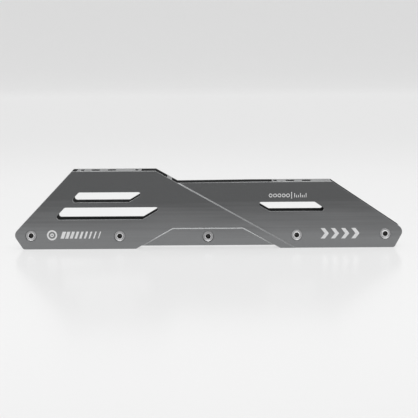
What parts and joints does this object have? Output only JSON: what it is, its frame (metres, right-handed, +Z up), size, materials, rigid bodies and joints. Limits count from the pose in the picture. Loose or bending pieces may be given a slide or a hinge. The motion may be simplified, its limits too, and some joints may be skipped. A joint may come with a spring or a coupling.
{
  "type": "inline skate frame",
  "caption": "Rigid aluminium inline skate frame with stepped boot decks, slanted side windows and removable cross axles.",
  "frame": {"origin": "centre of the middle axle, halfway between the two walls", "axes": "+X along the frame to the toe, +Y across it to the far side, which holds the threaded inserts, +Z up to the boot"},
  "size_m": [0.3562, 0.0386, 0.0716],
  "materials": {
    "anodised_aluminium": "satin grey anodised over fine lengthwise grain",
    "axle_steel": "turned and plated",
    "insert_steel": "turned"
  },
  "bodies": {
    "frame": {"near_heel_wall": "anodised_aluminium", "near_middle_wall": "anodised_aluminium", "near_toe_wall": "anodised_aluminium", "far_heel_wall": "anodised_aluminium", "far_middle_wall": "anodised_aluminium", "far_toe_wall": "anodised_aluminium", "heel_deck": "anodised_aluminium", "toe_deck": "anodised_aluminium", "slope_bridge": "anodised_aluminium", "near_boss_1": "anodised_aluminium", "near_boss_2": "anodised_aluminium", "near_boss_3": "anodised_aluminium", "near_boss_4": "anodised_aluminium", "near_boss_5": "anodised_aluminium", "far_boss_1": "anodised_aluminium", "far_boss_2": "anodised_aluminium", "far_boss_3": "anodised_aluminium", "far_boss_4": "anodised_aluminium", "far_boss_5": "anodised_aluminium", "axle_insert_1": "insert_steel", "axle_insert_2": "insert_steel", "axle_insert_3": "insert_steel", "axle_insert_4": "insert_steel", "axle_insert_5": "insert_steel"},
    "wheel_axle_1": {"axle_1": "axle_steel"},
    "wheel_axle_2": {"axle_2": "axle_steel"},
    "wheel_axle_3": {"axle_3": "axle_steel"},
    "wheel_axle_4": {"axle_4": "axle_steel"},
    "wheel_axle_5": {"axle_5": "axle_steel"}
  },
  "joints": [
    {"name": "axle_1_pull", "type": "slide", "parent": "frame", "child": "wheel_axle_1", "axis": [0, -1, 0], "range_m": [0, 0.034]},
    {"name": "axle_2_pull", "type": "slide", "parent": "frame", "child": "wheel_axle_2", "axis": [0, -1, 0], "range_m": [0, 0.034]},
    {"name": "axle_3_pull", "type": "slide", "parent": "frame", "child": "wheel_axle_3", "axis": [0, -1, 0], "range_m": [0, 0.034]},
    {"name": "axle_4_pull", "type": "slide", "parent": "frame", "child": "wheel_axle_4", "axis": [0, -1, 0], "range_m": [0, 0.034]},
    {"name": "axle_5_pull", "type": "slide", "parent": "frame", "child": "wheel_axle_5", "axis": [0, -1, 0], "range_m": [0, 0.034]}
  ]
}
